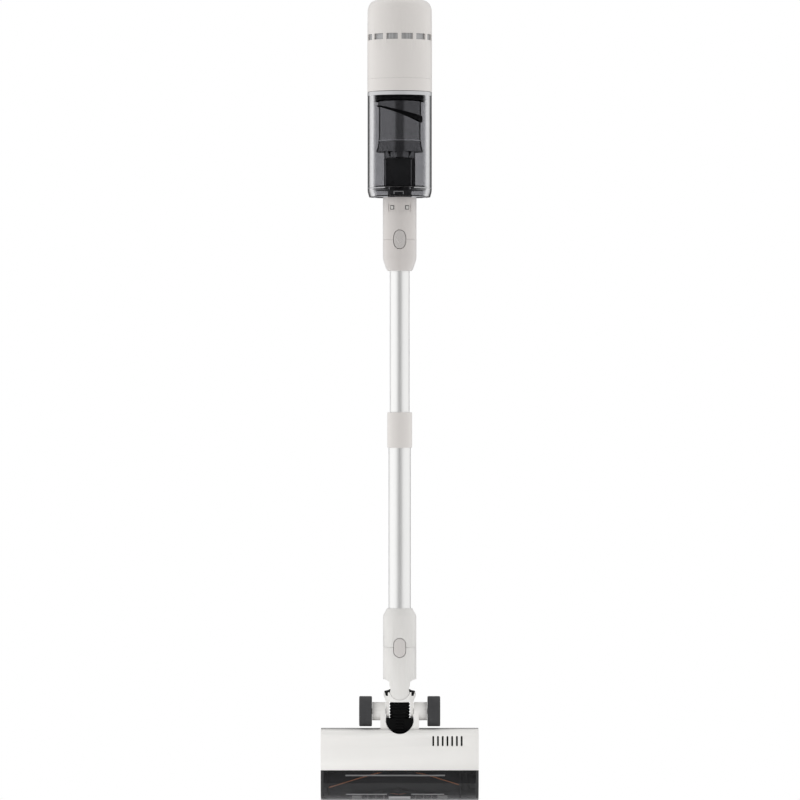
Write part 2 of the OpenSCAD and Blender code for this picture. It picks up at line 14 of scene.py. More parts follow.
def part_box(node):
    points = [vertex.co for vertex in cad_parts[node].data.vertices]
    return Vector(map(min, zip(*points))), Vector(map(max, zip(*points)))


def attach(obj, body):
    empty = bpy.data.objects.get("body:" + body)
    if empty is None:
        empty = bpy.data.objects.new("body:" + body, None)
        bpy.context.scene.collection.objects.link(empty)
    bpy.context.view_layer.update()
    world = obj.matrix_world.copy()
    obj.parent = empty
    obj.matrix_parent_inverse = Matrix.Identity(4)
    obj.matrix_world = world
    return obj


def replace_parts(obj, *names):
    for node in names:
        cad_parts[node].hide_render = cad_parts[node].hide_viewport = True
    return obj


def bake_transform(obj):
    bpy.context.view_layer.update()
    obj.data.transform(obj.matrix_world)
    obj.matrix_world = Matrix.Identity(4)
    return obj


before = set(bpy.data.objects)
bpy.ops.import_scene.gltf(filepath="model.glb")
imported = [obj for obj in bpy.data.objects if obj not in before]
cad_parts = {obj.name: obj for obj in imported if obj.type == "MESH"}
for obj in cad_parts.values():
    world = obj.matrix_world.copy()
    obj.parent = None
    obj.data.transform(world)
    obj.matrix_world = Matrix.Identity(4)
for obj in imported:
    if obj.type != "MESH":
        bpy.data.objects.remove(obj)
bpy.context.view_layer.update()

MM = 0.001
TAU = 2 * math.pi
TUBE_LOW, TUBE_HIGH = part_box("upper_tube")
AXIS_Y = (TUBE_LOW.y + TUBE_HIGH.y) / 2
NOSE_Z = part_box("front_lip")[0].z


def at(x, y, z):
    """A point in the row frame, in metres, from the millimetres used here."""
    return Vector((x * MM, AXIS_Y + y * MM, NOSE_Z + z * MM))


def span(node, axis):
    """A node's lowest and highest place along an axis (0, 1 or 2), in the millimetres used here."""
    low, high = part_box(node)
    offset = (0, AXIS_Y, NOSE_Z)[axis]
    return (low[axis] - offset) / MM, (high[axis] - offset) / MM


# ---- camera ----

VIEW_DISTANCE = 7.5  # metres
VIEW_HEIGHT = 1160.0
EYE_X = 0.45
EYE_HEIGHT = 580.7
SENSOR = 36

camera_data = bpy.data.cameras.new("camera")
camera_data.sensor_width = SENSOR
camera_data.lens = SENSOR * VIEW_DISTANCE / (VIEW_HEIGHT * MM)
camera = bpy.data.objects.new("camera", camera_data)
bpy.context.scene.collection.objects.link(camera)
camera.location = at(EYE_X, -VIEW_DISTANCE / MM, EYE_HEIGHT)
camera.rotation_euler = (math.radians(90), 0, 0)
bpy.context.scene.camera = camera
bpy.context.scene.view_settings.view_transform = "Standard"


# ---- materials ----


def nodes_of(name):
    """A new material's node tree and its Principled shader."""
    material = bpy.data.materials.new(name)
    material.use_nodes = True
    tree = material.node_tree
    return material, tree, tree.nodes["Principled BSDF"]


def link(tree, source, target):
    """Joins an output socket to an input socket."""
    tree.links.new(source, target)


def noise(tree, scale, detail=4.0):
    """A noise texture in object space, so that it stays with the piece."""
    place = tree.nodes.new("ShaderNodeTexCoord")
    texture = tree.nodes.new("ShaderNodeTexNoise")
    texture.inputs["Scale"].default_value = scale
    texture.inputs["Detail"].default_value = detail
    link(tree, place.outputs["Object"], texture.inputs["Vector"])
    return texture.outputs["Fac"]


def spread(tree, value, low, high):
    """Maps a 0 to 1 value onto low to high."""
    ramp = tree.nodes.new("ShaderNodeMapRange")
    ramp.inputs["To Min"].default_value = low
    ramp.inputs["To Max"].default_value = high
    link(tree, value, ramp.inputs["Value"])
    return ramp.outputs["Result"]


def tint(tree, value, dark, light):
    """Mixes two colours by a 0 to 1 value."""
    mix = tree.nodes.new("ShaderNodeMix")
    mix.data_type = "RGBA"
    mix.inputs["A"].default_value = (*dark, 1)
    mix.inputs["B"].default_value = (*light, 1)
    link(tree, value, mix.inputs["Factor"])
    return mix.outputs["Result"]


def bump(tree, shader, height, strength, distance):
    """Raises the shader's normal by a height texture, over a distance in metres."""
    node = tree.nodes.new("ShaderNodeBump")
    node.inputs["Strength"].default_value = strength
    node.inputs["Distance"].default_value = distance
    link(tree, height, node.inputs["Height"])
    link(tree, node.outputs["Normal"], shader.inputs["Normal"])


def turned(tree, stops):
    """A share by how far a surface turns away from the viewer: (turn, share), from 0 face on to 1 edge on."""
    facing = tree.nodes.new("ShaderNodeLayerWeight")
    ramp = tree.nodes.new("ShaderNodeValToRGB")
    ramp.color_ramp.interpolation = "EASE"
    marks = ramp.color_ramp.elements
    while len(marks) < len(stops):
        marks.new(0.5)
    for mark, (place, share) in zip(marks, stops):
        mark.position = place
        mark.color = (share, share, share, 1)
    link(tree, facing.outputs["Facing"], ramp.inputs["Fac"])
    return ramp.outputs["Color"]


def moulded(name, colour, rough, shift=0.04, grain=1400, grain_depth=0.00003, coat=0.0, specular=0.5,
            sheen=0.0):
    """Moulded plastic: a slight drift in shade, a fine spark-eroded grain and uneven gloss."""
    material, tree, shader = nodes_of(name)
    darker = [c * (1 - shift) for c in colour]
    lighter = [min(1, c * (1 + shift)) for c in colour]
    link(tree, tint(tree, noise(tree, 9, 3), darker, lighter), shader.inputs["Base Color"])
    link(tree, spread(tree, noise(tree, 60, 5), rough * 0.85, rough * 1.15), shader.inputs["Roughness"])
    bump(tree, shader, noise(tree, grain, 2), 0.35, grain_depth)
    shader.inputs["Coat Weight"].default_value = coat
    shader.inputs["Specular IOR Level"].default_value = specular
    shader.inputs["Sheen Weight"].default_value = sheen
    return material


def rubber(name, colour, rough):
    """Matt rubber with a dusty bloom."""
    material, tree, shader = nodes_of(name)
    bloom = [c * 1.5 + 0.004 for c in colour]
    link(tree, tint(tree, noise(tree, 45, 6), colour, bloom), shader.inputs["Base Color"])
    gloss = spread(tree, noise(tree, 110, 4), rough * 0.85, min(1, rough * 1.15))
    link(tree, gloss, shader.inputs["Roughness"])
    bump(tree, shader, noise(tree, 900, 3), 0.4, 0.00005)
    return material


def stretched_noise(tree, scale, stretch):
    """Noise drawn out along one way, such as the lines of a brushed or drawn metal."""
    place = tree.nodes.new("ShaderNodeTexCoord")
    mapping = tree.nodes.new("ShaderNodeMapping")
    mapping.inputs["Scale"].default_value = stretch
    texture = tree.nodes.new("ShaderNodeTexNoise")
    texture.inputs["Scale"].default_value = scale
    texture.inputs["Detail"].default_value = 5
    link(tree, place.outputs["Object"], mapping.inputs["Vector"])
    link(tree, mapping.outputs["Vector"], texture.inputs["Vector"])
    return texture.outputs["Fac"]


def drawn_metal(name, colour, rough, stretch=(1, 1, 0.02), depth=0.12):
    """Metal with fine draw lines."""
    material, tree, shader = nodes_of(name)
    lines = stretched_noise(tree, 700, stretch)
    shader.inputs["Metallic"].default_value = 1
    link(tree, tint(tree, lines, [c * 0.93 for c in colour], colour), shader.inputs["Base Color"])
    link(tree, spread(tree, lines, rough * 0.7, rough * 1.3), shader.inputs["Roughness"])
    bump(tree, shader, lines, depth, 0.00002)
    return material


def combine(tree, a, b, operation="MULTIPLY"):
    """Two values brought together by a Math node."""
    node = tree.nodes.new("ShaderNodeMath")
    node.operation = operation
    link(tree, a, node.inputs[0])
    link(tree, b, node.inputs[1])
    return node.outputs["Value"]


def perforated(name, colour, hole, rough, scale, depth=0.3):
    """Fine metal mesh: a grid of small dark openings."""
    material, tree, shader = nodes_of(name)
    place = tree.nodes.new("ShaderNodeTexCoord")
    cells = tree.nodes.new("ShaderNodeTexVoronoi")
    cells.inputs["Scale"].default_value = scale
    cells.inputs["Randomness"].default_value = 0.1
    link(tree, place.outputs["Object"], cells.inputs["Vector"])
    rim = spread(tree, cells.outputs["Distance"], 0.0, 1.6)
    shader.inputs["Metallic"].default_value = 1
    link(tree, tint(tree, rim, hole, colour), shader.inputs["Base Color"])
    link(tree, spread(tree, noise(tree, 80), rough * 0.8, rough * 1.2), shader.inputs["Roughness"])
    bump(tree, shader, rim, depth, 0.0001)
    return material


# Near its edge, clear plastic is looked through at a slant: where it starts and stops darkening, and how far
SLANT_START, SLANT_STOP, SLANT_SHARE = 0.62, 0.72, 0.3


def clear(name, through, rough, mirror):
    """Clear smoked plastic. mirror lists (turn away from the viewer, mirrored share), from 0 face on to 1."""
    material, tree, shader = nodes_of(name)
    tree.nodes.remove(shader)
    facing = tree.nodes.new("ShaderNodeLayerWeight")
    see = tree.nodes.new("ShaderNodeBsdfTransparent")
    slant = tree.nodes.new("ShaderNodeMapRange")
    slant.inputs["From Min"].default_value = SLANT_START
    slant.inputs["From Max"].default_value = SLANT_STOP
    link(tree, facing.outputs["Facing"], slant.inputs["Value"])
    clouded = tint(tree, noise(tree, 12, 3), [c * 0.97 for c in through], through)
    thick = tree.nodes.new("ShaderNodeMix")
    thick.data_type = "RGBA"
    thick.inputs["B"].default_value = (*[c * SLANT_SHARE for c in through], 1)
    link(tree, clouded, thick.inputs["A"])
    link(tree, slant.outputs["Result"], thick.inputs["Factor"])
    link(tree, thick.outputs["Result"], see.inputs["Color"])
    gloss = tree.nodes.new("ShaderNodeBsdfPrincipled")
    gloss.inputs["Base Color"].default_value = (0.97, 0.97, 0.98, 1)
    gloss.inputs["Metallic"].default_value = 1
    link(tree, spread(tree, noise(tree, 30, 3), rough, rough * 1.8), gloss.inputs["Roughness"])
    mix = tree.nodes.new("ShaderNodeMixShader")
    link(tree, turned(tree, mirror), mix.inputs["Fac"])
    link(tree, see.outputs["BSDF"], mix.inputs[1])
    link(tree, gloss.outputs["BSDF"], mix.inputs[2])
    link(tree, mix.outputs["Shader"], tree.nodes["Material Output"].inputs["Surface"])
    return material


CREAM = moulded("cream_shell", (0.81, 0.775, 0.745), 0.42, sheen=0.4)
# The adapter is the housing's cream plastic; its darker base colour is painted shade.
SHADED_ADAPTER_CREAM = moulded("adapter_cream_painted_shade", (0.70, 0.66, 0.635), 0.36, sheen=1.0)
WHITE = moulded("white_shell", (0.90, 0.885, 0.86), 0.38)
DARK = moulded("dark_plastic", (0.012, 0.012, 0.013), 0.35, shift=0.2)
BLACK = moulded("black_liner", (0.004, 0.004, 0.004), 0.6, shift=0.2, specular=0.06)
GREY = moulded("grey_plastic", (0.05, 0.05, 0.053), 0.45, shift=0.1)
SOLE = moulded("sole_plastic", (0.03, 0.03, 0.031), 0.5, shift=0.1)
RIB = moulded("rib_plastic", (0.16, 0.16, 0.163), 0.5, shift=0.1)
# The nose lip's own grey, also used as painted highlight on the duct's edges and the skirt's ribs.
LIP_AND_HIGHLIGHT_GREY = moulded("lip_and_highlight_grey", (0.42, 0.42, 0.43), 0.42, shift=0.06)
BOARD = moulded("board_green", (0.02, 0.14, 0.05), 0.3, shift=0.15)
CELL = moulded("cell_wrap", (0.03, 0.12, 0.3), 0.3, shift=0.1)
PAPER = moulded("filter_paper", (0.75, 0.75, 0.7), 0.9, grain=500, grain_depth=0.0002)
FOAM = moulded("filter_foam", (0.6, 0.6, 0.57), 0.95, grain=700, grain_depth=0.0008)
MATT = moulded("matt_black", (0.008, 0.008, 0.0085), 0.7, shift=0.2, specular=0.3)
SHROUD = drawn_metal("shroud_gloss", (0.29, 0.29, 0.295), 0.06, (1, 1, 1), 0.01)
HOSE = moulded("hose_black", (0.004, 0.004, 0.004), 0.45, shift=0.25, grain=500, specular=0.06)
SEAL = rubber("seal_rubber", (0.012, 0.012, 0.012), 0.6)
TYRE = rubber("wheel_rubber", (0.034, 0.034, 0.036), 0.75)
FELT = rubber("roller_felt", (0.03, 0.03, 0.031), 0.95)
TUFT = moulded("bristle_dark", (0.035, 0.035, 0.036), 0.8, shift=0.3)
BUTTON = moulded("button_shell", (0.70, 0.67, 0.65), 0.4)
ADAPTER_KEY = moulded("adapter_key", (0.60, 0.572, 0.555), 0.4)
# The connector is the white plastic; its darker base colour is painted shade.
SHADED_CONNECTOR_WHITE = moulded("connector_white_painted_shade", (0.81, 0.795, 0.77), 0.38, sheen=0.6)
DUCT = moulded("duct_satin", (0.072, 0.072, 0.073), 0.6, shift=0.1, specular=0.3)
NICKEL = drawn_metal("nickel_pad", (0.6, 0.59, 0.57), 0.5, (1, 1, 1))
BRISTLE = moulded("bristle_copper", (0.9, 0.36, 0.17), 0.5, shift=0.15)
ALUMINIUM = drawn_metal("tube_aluminium", (0.88, 0.88, 0.87), 0.42)
STEEL = drawn_metal("turned_steel", (0.6, 0.6, 0.6), 0.3, (1, 1, 1))
COPPER = drawn_metal("copper_winding", (0.72, 0.35, 0.18), 0.35, (1, 1, 0.1))
MESH = perforated("mesh_steel", (0.47, 0.47, 0.475), (0.37, 0.37, 0.375), 0.09, 1900, 0.004)
BRIGHT = drawn_metal("bright_rim", (0.95, 0.95, 0.95), 0.4, (1, 1, 1))
GRILLE = perforated("grille_mesh", (0.54, 0.54, 0.545), (0.17, 0.17, 0.17), 0.6, 900)
SMOKE = clear("clear_cup", (0.68, 0.68, 0.69), 0.04,
              ((0.0, 0.0), (0.31, 0.0), (0.38, 0.07), (0.47, 0.55), (0.62, 0.62), (1.0, 0.62)))
RIM = moulded("cup_rim_band", (0.62, 0.62, 0.63), 0.25, coat=1.0)
WINDOW = clear("clear_window", (0.72, 0.72, 0.73), 0.05, ((0.0, 0.03), (0.5, 0.06), (0.8, 0.2), (1.0, 0.3)))
RIDGE = clear("clear_ridge", (0.75, 0.75, 0.76), 0.25, ((0.0, 0.3), (0.5, 0.4), (1.0, 0.6)))


# ---- mesh tools ----

CREASE_DEG = 35
WELD = 2e-6  # metres
FLAT_DEG = 0.5
FINE = 240  # segments round the widest pieces


def piece(name, verts, faces, body, material, sharp=CREASE_DEG):
    """A new mesh piece from metres, riding on a body, shaded smooth up to a crease angle."""
    mesh = bpy.data.meshes.new(name)
    mesh.from_pydata([tuple(v) for v in verts], [], faces)
    return finish_mesh(mesh, name, body, material, sharp)


def finish_mesh(mesh, name, body, material, sharp=CREASE_DEG):
    """Welds and shades a mesh, and makes it a piece of one material that rides on a body."""
    work = bmesh.new()
    work.from_mesh(mesh)
    bmesh.ops.remove_doubles(work, verts=work.verts, dist=WELD)
    bmesh.ops.recalc_face_normals(work, faces=work.faces)
    work.to_mesh(mesh)
    work.free()
    mesh.shade_smooth()
    mesh.set_sharp_from_angle(angle=math.radians(sharp))
    mesh.materials.clear()
    mesh.materials.append(material)
    made = bpy.data.objects.new(name, mesh)
    bpy.context.scene.collection.objects.link(made)
    if body:
        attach(made, body)
    return made


def rounded(corners, steps=5):
    """A closed outline from (a, b, radius) corners, with each corner turned into a curve."""
    outline = []
    count = len(corners)
    for i, (a, b, radius) in enumerate(corners):
        here = Vector((a, b))
        if radius <= 0:
            outline.append((a, b))
            continue
        before = Vector(corners[i - 1][:2]) - here
        after = Vector(corners[(i + 1) % count][:2]) - here
        reach = min(radius, before.length * 0.49, after.length * 0.49)
        start = here + before.normalized() * reach
        end = here + after.normalized() * reach
        for k in range(steps + 1):
            t = k / steps
            point = start * (1 - t) ** 2 + here * 2 * t * (1 - t) + end * t * t
            outline.append((point.x, point.y))
    return outline


def lathe(name, outline, body, material, segments=160, axis="Z", centre=(0, 0), sharp=CREASE_DEG):
    """A turned piece. The closed outline holds (radius, place along the axis); centre is (x, y) for an
    upright axis and (y, z) for one along X."""
    verts, faces = [], []
    count = len(outline)
    for i in range(segments):
        c, s = math.cos(TAU * i / segments), math.sin(TAU * i / segments)
        for r, along in outline:
            if axis == "Z":
                verts.append(at(centre[0] + r * c, centre[1] + r * s, along))
            else:
                verts.append(at(along, centre[0] + r * c, centre[1] + r * s))
        for j in range(count):
            k, nxt = (j + 1) % count, (i + 1) % segments
            faces.append((i * count + j, i * count + k, nxt * count + k, nxt * count + j))
    return piece(name, verts, faces, body, material, sharp)


def prism(name, outline, low, high, axis, body, material, bevel=0.0, slot=None):
    """A closed outline pushed along an axis, holding the other two places in order, with its edges eased."""
    place = {"X": lambda a, b, w: at(w, a, b), "Y": lambda a, b, w: at(a, w, b), "Z": at}[axis]
    count = len(outline)
    verts = [place(a, b, w) for w in (low, high) for a, b in outline]
    faces = [tuple(range(count)), tuple(range(2 * count - 1, count - 1, -1))]
    faces += [(j, (j + 1) % count, count + (j + 1) % count, count + j) for j in range(count)]
    made = piece(name, verts, faces, body, material)
    if bevel:
        ease(made, bevel)
    return made


def ease(made, width, segments=3, angle=CREASE_DEG):
    """Rounds the hard edges of a piece by a width in millimetres."""
    modifier = made.modifiers.new("edges", "BEVEL")
    modifier.width = width * MM
    modifier.segments = segments
    modifier.limit_method = "ANGLE"
    modifier.angle_limit = math.radians(angle)
    modifier.harden_normals = True
    bake(made)


def bake(made):
    """Applies every modifier of a piece to its mesh."""
    bpy.context.view_layer.update()
    done = bpy.data.meshes.new_from_object(made.evaluated_get(bpy.context.evaluated_depsgraph_get()))
    made.modifiers.clear()
    made.data = done


def cut(made, *cutters):
    """Cuts closed pieces out of a piece and throws them away."""
    for cutter in cutters:
        modifier = made.modifiers.new("cut", "BOOLEAN")
        modifier.operation = "DIFFERENCE"
        modifier.solver = "EXACT"
        modifier.object = cutter
        bake(made)
        bpy.data.objects.remove(cutter)
    made.data.set_sharp_from_angle(angle=math.radians(CREASE_DEG))


def refined(name, node, body, material, bevel):
    """A CAD node's own shape with welded, eased edges."""
    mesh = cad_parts[node].data.copy()
    work = bmesh.new()
    work.from_mesh(mesh)
    bmesh.ops.remove_doubles(work, verts=work.verts, dist=WELD)
    bmesh.ops.dissolve_limit(work, angle_limit=math.radians(FLAT_DEG), verts=work.verts, edges=work.edges)
    work.to_mesh(mesh)
    work.free()
    made = finish_mesh(mesh, name, body, material)
    if bevel:
        ease(made, bevel, segments=2)
        made.data.set_sharp_from_angle(angle=math.radians(CREASE_DEG))
    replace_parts(made, node)
    return made


def dress(node, material):
    """Gives a CAD node that is shown as it is its material."""
    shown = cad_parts[node]
    shown.data.materials.clear()
    shown.data.materials.append(material)


def superellipse(width, height, power, count=72, middle=0.0):
    """An upright oval about (0, middle) as (x, z) points."""
    points = []
    for i in range(count):
        c, s = math.cos(TAU * i / count), math.sin(TAU * i / count)
        points.append((math.copysign(abs(c) ** (2 / power), c) * width / 2,
                       middle + math.copysign(abs(s) ** (2 / power), s) * height / 2))
    return points


def stadium(width, height, middle, count=24):
    """An upright slot with round ends about (0, middle) as (x, z) points."""
    points = []
    reach = (height - width) / 2
    for side in (1, -1):
        for i in range(count + 1):
            angle = math.pi * i / count + (0 if side > 0 else math.pi)
            points.append((math.cos(angle) * width / 2, middle + side * reach + math.sin(angle) * width / 2))
    return points


# ---- studio ----

# The room's grey zones: how bright each is, and where it fades, as a share of the direction looked in
FRONT_LEVEL, FRONT_FADE = 0.34, (0.26, 0.54)
BACK_LEVEL, BACK_FADE = 0.12, (0.60, 0.88)
LEFT_LEVEL, RIGHT_LEVEL = 1.15, 1.02


def studio():
    """A white room. A soft grey zone in front gives round pieces their darker middle, and another one
    straight behind gives them their grey edges."""
    world = bpy.data.worlds.new("studio")
    world.use_nodes = True
    bpy.context.scene.world = world
    tree = world.node_tree
    tree.nodes.clear()
    place = tree.nodes.new("ShaderNodeTexCoord")
    split = tree.nodes.new("ShaderNodeSeparateXYZ")
    link(tree, place.outputs["Generated"], split.inputs["Vector"])

    def soft_step(value, start, stop, low, high):
        step = tree.nodes.new("ShaderNodeMapRange")
        step.interpolation_type = "SMOOTHSTEP"
        for name, number in (("From Min", start), ("From Max", stop), ("To Min", low), ("To Max", high)):
            step.inputs[name].default_value = number
        link(tree, value, step.inputs["Value"])
        return step.outputs["Result"]

    side = tree.nodes.new("ShaderNodeMath")
    side.operation = "ABSOLUTE"
    link(tree, split.outputs["X"], side.inputs[0])
    front = soft_step(side.outputs["Value"], *FRONT_FADE, FRONT_LEVEL, 1.0)
    is_back = tree.nodes.new("ShaderNodeMath")
    is_back.operation = "GREATER_THAN"
    is_back.inputs[1].default_value = 0.0
    link(tree, split.outputs["Y"], is_back.inputs[0])
    front = combine(tree, front, is_back.outputs["Value"], "MAXIMUM")
    back = soft_step(split.outputs["Y"], *BACK_FADE, 1.0, BACK_LEVEL)
    tilt = soft_step(split.outputs["X"], -1.0, 1.0, LEFT_LEVEL, RIGHT_LEVEL)
    level = combine(tree, combine(tree, front, back), tilt)
    path = tree.nodes.new("ShaderNodeLightPath")
    seen = combine(tree, level, path.outputs["Is Camera Ray"], "MAXIMUM")
    background = tree.nodes.new("ShaderNodeBackground")
    link(tree, seen, background.inputs["Strength"])
    background.inputs["Color"].default_value = (1, 1, 1, 1)
    output = tree.nodes.new("ShaderNodeOutputWorld")
    link(tree, background.outputs["Background"], output.inputs["Surface"])


def soft_light(name, place, aim, size, power, cone):
    """A soft lamp that shines within a cone, in degrees, and doesn't show in reflections."""
    data = bpy.data.lights.new(name, "AREA")
    data.shape = "RECTANGLE"
    data.size, data.size_y = size
    data.energy = power
    data.spread = math.radians(cone)
    lamp = bpy.data.objects.new(name, data)
    bpy.context.scene.collection.objects.link(lamp)
    lamp.location = place
    lamp.rotation_euler = (aim - place).to_track_quat("-Z", "Y").to_euler()
    lamp.visible_glossy = False


def floor():
    """A pale disc below the nose."""
    radius, drop, thick = 560, 60, 3
    outline = [(0, -drop), (radius, -drop), (radius, -drop - thick), (0, -drop - thick)]
    verts, faces = [], []
    count, segments = len(outline), 96
    for i in range(segments):
        for r, z in outline:
            verts.append(at(r * math.cos(TAU * i / segments), r * math.sin(TAU * i / segments), z))
        for j in range(count):
            k, nxt = (j + 1) % count, (i + 1) % segments
            faces.append((i * count + j, i * count + k, nxt * count + k, nxt * count + j))
    mesh = bpy.data.meshes.new("floor")
    mesh.from_pydata([tuple(v) for v in verts], [], faces)
    mesh.materials.append(moulded("floor_pale", (0.86, 0.86, 0.86), 0.8))
    made = bpy.data.objects.new("floor", mesh)
    bpy.context.scene.collection.objects.link(made)


studio()
floor()
soft_light("head_light", at(-100, -330, -20), at(0, 0, 75), size=(0.7, 0.1), power=0.16, cone=100)


# ---- main unit ----

BODY_R = span("motor_housing", 0)[1]
SHELL_LOW, SHELL_TOP = span("motor_housing", 2)
CUP_LOW, CUP_TOP = span("dust_cup", 2)
CUP_R = span("dust_cup", 0)[1]
CUP_FLOOR = CUP_LOW + 13.4
CUP_UNDER = CUP_LOW + 10.3
SLOTS = 13
SLOT_DEG = 21
SLOT_Z = (1101.3, 1110.0)
WALL = 2.4


def housing_profile():
    """Outer (radius, height) points of the motor housing, from its seam to the middle of its dome."""
    dome_r, dome_z, wide, tall = BODY_R - 12, SHELL_TOP - 17.5, 11.6, 16
    points = [(BODY_R - 0.15, SHELL_LOW), (BODY_R, SHELL_LOW + 0.3)]
    points += [(BODY_R, SLOT_Z[0] - 20), (BODY_R, SLOT_Z[0]), (BODY_R, (SLOT_Z[0] + SLOT_Z[1]) / 2)]
    points += [(BODY_R - 0.05, SLOT_Z[1]), (BODY_R - 0.2, 1125)]
    for k in range(17):
        angle = math.radians(90 * k / 16)
        points.append((dome_r + wide * math.cos(angle), dome_z + tall * math.sin(angle)))
    points += [(24, SHELL_TOP - 0.65), (12, SHELL_TOP - 0.15), (0, SHELL_TOP)]
    return points


def motor_housing():
    """The housing as a thin shell. Its exhaust slots are real openings, apart from the one at the back."""
    profile = housing_profile()
    pitch = 360 / SLOTS
    angles = []
    for i in range(SLOTS):
        middle = -90 + (i + 0.5) * pitch
        is_open = i != SLOTS // 2
        angles += [(middle - SLOT_DEG / 2 + SLOT_DEG * k / 10, k < 10 and is_open) for k in range(11)]
        gap = pitch - SLOT_DEG
        angles += [(middle + SLOT_DEG / 2 + gap * k / 4, False) for k in range(1, 4)]
    slot_rows = [j for j, (r, z) in enumerate(profile) if SLOT_Z[0] <= z < SLOT_Z[1]]
    count = len(profile)
    verts, faces = [], []
    for angle, _ in angles:
        c, s = math.cos(math.radians(angle)), math.sin(math.radians(angle))
        verts += [at(r * c, r * s, z) for r, z in profile]
    for i, (_, in_slot) in enumerate(angles):
        nxt = (i + 1) % len(angles)
        for j in range(count - 1):
            if in_slot and j in slot_rows:
                continue
            faces.append((i * count + j, nxt * count + j, nxt * count + j + 1, i * count + j + 1))
    made = piece("housing_shell", verts, faces, "main_unit", CREAM, 50)
    solid = made.modifiers.new("wall", "SOLIDIFY")
    solid.thickness = WALL * MM
    solid.offset = -1
    ease(made, 0.5, angle=50)
    made.data.set_sharp_from_angle(angle=math.radians(50))
    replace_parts(made, "motor_housing")


def ring_and_grille():
    """The ring under the housing, and the mesh behind its slots."""
    low, high = span("bayonet_ring", 2)
    seam, ledge, hole_r = SHELL_LOW - 0.06, high - 4, 25
    lathe("cup_ring", rounded([
        (BODY_R - 0.05, seam, 0.1), (BODY_R, SHELL_LOW - 0.5, 0.3), (BODY_R, low, 0.6),
        (BODY_R - WALL, low, 0.5), (BODY_R - WALL, ledge, 0.3), (hole_r, ledge, 0.3), (hole_r, seam, 0.3)]),
        "main_unit", CREAM, FINE)
    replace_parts(bpy.data.objects["cup_ring"], "bayonet_ring")
    low, high = span("exhaust_grille", 2)
    radius = span("exhaust_grille", 0)[1]
    grille = lathe("exhaust_mesh", [(radius, low), (radius, high), (radius - 0.7, high), (radius - 0.7, low)],
                   "main_unit", GRILLE, FINE)
    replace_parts(grille, "exhaust_grille")


def exhaust_filter():
    """A pleated paper ring."""
    low, high = span("hepa_filter", 2)
    outer = span("hepa_filter", 0)[1] - 0.3
    pleats, deep, paper = 96, 9, 0.5
    verts, faces = [], []
    count = pleats * 2
    for i in range(count):
        r = outer if i % 2 else outer - deep
        c, s = math.cos(TAU * i / count), math.sin(TAU * i / count)
        verts += [at(r * c, r * s, low + 1), at(r * c, r * s, high - 1),
                  at((r - paper) * c, (r - paper) * s, high - 1), at((r - paper) * c, (r - paper) * s, low + 1)]
        for j in range(4):
            k, nxt = (j + 1) % 4, (i + 1) % count
            faces.append((i * 4 + j, i * 4 + k, nxt * 4 + k, nxt * 4 + j))
    made = piece("pleated_filter", verts, faces, "main_unit", PAPER, 20)
    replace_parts(made, "hepa_filter")


motor_housing()
ring_and_grille()
exhaust_filter()


# ---- dust cup and filters ----


def dust_cup():
    """The clear cup, the pale band round its rim and the catch on its front."""
    inner, hole_r = CUP_R - 2.1, 17.3
    lathe("cup_shell", rounded([
        (inner, CUP_TOP, 0.5), (CUP_R, CUP_TOP, 0.5), (CUP_R, CUP_LOW + 8.4, 3), (CUP_R - 2.3, CUP_LOW, 0.8),
        (CUP_R - 4.5, CUP_LOW, 0.5), (CUP_R - 2.9, CUP_UNDER, 0.8), (hole_r, CUP_UNDER, 0.3),
        (hole_r, CUP_FLOOR, 0.3), (inner, CUP_FLOOR, 2.0)]),
        "cup", SMOKE, FINE, sharp=50)
    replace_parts(bpy.data.objects["cup_shell"], "dust_cup")
    near, far, high, low = CUP_R + 0.02, CUP_R + 0.2, CUP_TOP - 0.4, CUP_TOP - 5.6
    lathe("cup_rim_band", [(far, high), (far, low), (near, low), (near, high)], "cup", RIM, FINE)
    left, right, foot, head, thick = -8.7, 5.7, 877.6, 882, 1.1
    catch = [(left, foot), (left + thick, foot), (left + thick, head - 1), (right - thick, head - 1),
             (right - thick, foot), (right, foot), (right, head), (left, head)]
    prism("cup_catch", catch, -46.1, -45.2, "Y", "cup", RIDGE, slot="clear_smoke")


def sleeve(name, inner, outer, low_at, high_at, material):
    """A ring about the axis whose lower and upper edges may slant: each is a height for a given x."""
    segments = 160
    verts, faces = [], []
    for i in range(segments):
        c, s = math.cos(TAU * i / segments), math.sin(TAU * i / segments)
        low, high = low_at(outer * c), high_at(outer * c)
        verts += [at(inner * c, inner * s, low), at(outer * c, outer * s, low),
                  at(outer * c, outer * s, high), at(inner * c, inner * s, high)]
        for j in range(4):
            k, nxt = (j + 1) % 4, (i + 1) % segments
            faces.append((i * 4 + j, i * 4 + k, nxt * 4 + k, nxt * 4 + j))
    return piece(name, verts, faces, "main_unit", material)


